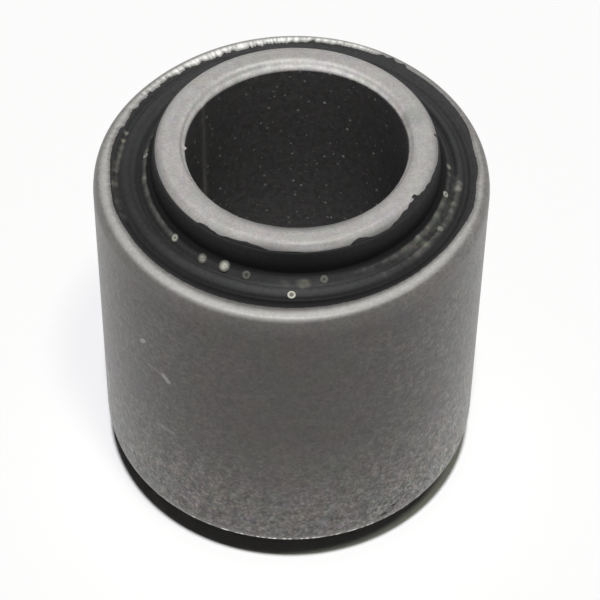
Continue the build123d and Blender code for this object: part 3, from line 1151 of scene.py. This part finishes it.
def glint_drops():
    """All drops at once, each a thin lens with a raised ring, lying on the rubber's slope.

    A point is centre + s (cos u e1 + sin u e2) + h n, where e1 and e2 span the rubber's tangent
    plane there and n is its normal.  On the upper side h = skim height + ring height * w, with w =
    exp(-((s - ring) / half width)^2), and both shrink to nothing at the rim; the underside lies a
    skim height down.  Paleness, a painted highlight, follows w, and inside the ring it is no less
    than the skim's share.
    """
    bearing, out, ring, half, pale = np.array(drops).T[:, :, None, None]
    bearing = np.radians(bearing)
    out, ring, half = out * mm, ring * mm, half * mm
    x, y = out * np.sin(bearing), -out * np.cos(bearing)
    step = 0.05 * mm
    slope_x = (face_relief(x + step, y) - face_relief(x - step, y)) / (2 * step)
    slope_y = (face_relief(x, y + step) - face_relief(x, y - step)) / (2 * step)
    ones, none = np.ones_like(x), np.zeros_like(x)
    along = np.stack([ones, none, slope_x], axis=-1)
    normal = np.stack([-slope_x, -slope_y, ones], axis=-1)
    along /= np.linalg.norm(along, axis=-1, keepdims=True)
    normal /= np.linalg.norm(normal, axis=-1, keepdims=True)
    across = np.cross(normal, along)

    u = bearings(32)[None, :, None]
    inward = np.linspace(1, 0, 12)
    t = np.concatenate([inward, inward[::-1][1:-1:3]])[None, None, :]
    upper = (np.arange(t.size) < inward.size)[None, None, :]
    s = drop_hole + t * (ring + drop_reach * half - drop_hole)
    ridge = np.exp(-((s - ring) / half) ** 2)
    rim = smooth_step(t, 1.0, 0.85)
    h = np.where(upper, (skim_height + ring_height * ridge) * rim, -skim_height)
    points = np.stack([x, y, face_relief(x, y)], axis=-1)
    points = points + (s * np.cos(u))[..., None] * along + (s * np.sin(u))[..., None] * across
    points = points + (h * np.ones_like(u))[..., None] * normal
    # The paleness is a painted highlight.
    paleness = pale * np.maximum(ridge, skim_share * (s < ring)) * np.ones(points.shape[:3])
    number = np.arange(paleness.size).reshape(paleness.shape)
    return make_piece("glint_drops", points, quads(number, 1, 2), {"pale": paleness})


def painted_glints():
    """Pale yellowish colour, a painted highlight standing in for glints, uneven and half matt,
    fainter where `pale` is low.
    """
    thin = (0.040, 0.040, 0.037, 1)
    painted_glint_colour = (0.66, 0.65, 0.56, 1)
    material, tree, shader = new_material("painted_glints")
    place = add_node(tree, "TexCoord").outputs["Object"]
    uneven = use_group(tree, grain, place, Size=0.16 * mm, Contrast=0.5)
    colour = add_tint(tree, add_mix(tree, add_mask(tree, "pale"), thin, painted_glint_colour), uneven["Tone"])
    fill(tree, shader, {"Specular IOR Level": 0.12, "Base Color": colour,
                        "Roughness": add_ramp(tree, uneven["Height"], 0.3, 0.7, 0.45, 0.7)})
    return material


glint_drop_piece = glint_drops()
glint_drop_piece.data.materials.append(painted_glints())
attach(glint_drop_piece, "root")


# ======================================================================================
# Stage.  A plain white table, one soft lamp above and a little in front, a weak one from
# the right, and a camera that looks down at the bush from close by.
# ======================================================================================
table_size = 4.0
key_strength = 2.80
key_direction = (0.0, -0.25, 1.0)
key_colour = (1.005, 1.0, 1.03)
key_softness = 5.0              # degrees across
side_strength = 0.36
side_colour = (0.96, 1.0, 0.78)
side_direction = (0.165, -0.29, 1.0)
side_softness = 8.0
sky_strength = 0.008

camera_place = (0.0, -161.976 * mm, 185.503 * mm)
camera_tilt = 0.85726           # radians below the horizon
camera_pan = 0.00573
camera_roll = 0.01546
camera_lens = 155.325
camera_sensor = 36.0


def table_top():
    """A flat square under the foot of the bush, in a white that keeps the shadow."""
    lit, seen_white = (0.56, 0.56, 0.55, 1), (0.985, 0.985, 0.98, 1)
    half = table_size / 2
    corners = [(-half, -half), (half, -half), (half, half), (-half, half)]
    table = make_piece("table", [(x, y, -tube_end) for x, y in corners], [0, 1, 2, 3], {})
    material, tree, shader = new_material("white_table")
    path = add_node(tree, "LightPath").outputs
    seen = add_math(tree, "MAXIMUM", path["Is Camera Ray"], path["Is Glossy Ray"])
    fill(tree, shader, {"Base Color": add_mix(tree, seen, lit, seen_white),
                        "Roughness": 1.0, "Specular IOR Level": 0.0})
    table.data.materials.append(material)


def add_sun(name, direction, strength, softness, colour):
    """A sun lamp that shines from `direction` towards the bush."""
    lamp = bpy.data.lights.new(name, "SUN")
    lamp.energy = strength
    lamp.color = colour
    lamp.angle = math.radians(softness)
    sun = bpy.data.objects.new(name, lamp)
    x, y, z = direction
    sun.rotation_euler = (math.atan2(math.hypot(x, y), z), 0, math.atan2(x, -y))
    bpy.context.scene.collection.objects.link(sun)


def white_room():
    """A world that is white to look at or mirror, and only a weak lamp by itself."""
    world = bpy.data.worlds.new("white_room")
    world.use_nodes = True
    tree = world.node_tree
    path = add_node(tree, "LightPath").outputs
    seen = add_math(tree, "MAXIMUM", path["Is Glossy Ray"], path["Is Transmission Ray"])
    seen = add_math(tree, "MAXIMUM", path["Is Camera Ray"], seen)
    fill(tree, tree.nodes["Background"], {
        "Color": (1, 1, 1, 1), "Strength": add_ramp(tree, seen, 0, 1, sky_strength, 1.0)})
    bpy.context.scene.world = world


def camera():
    """The camera: tilted down from the horizon, panned, then rolled about its own line."""
    lens = bpy.data.cameras.new("camera")
    lens.lens = camera_lens
    lens.sensor_width = camera_sensor
    lens.clip_start = 0.01
    eye = bpy.data.objects.new("camera", lens)
    eye.matrix_world = (
        Matrix.Translation(camera_place)
        @ Matrix.Rotation(-camera_pan, 4, "Z")
        @ Matrix.Rotation(math.pi / 2 - camera_tilt, 4, "X")
        @ Matrix.Rotation(camera_roll, 4, "Z")
    )
    bpy.context.scene.collection.objects.link(eye)
    bpy.context.scene.camera = eye


table_top()
add_sun("key_lamp", key_direction, key_strength, key_softness, key_colour)
add_sun("side_lamp", side_direction, side_strength, side_softness, side_colour)
white_room()
camera()
bpy.context.scene.view_settings.view_transform = "Standard"
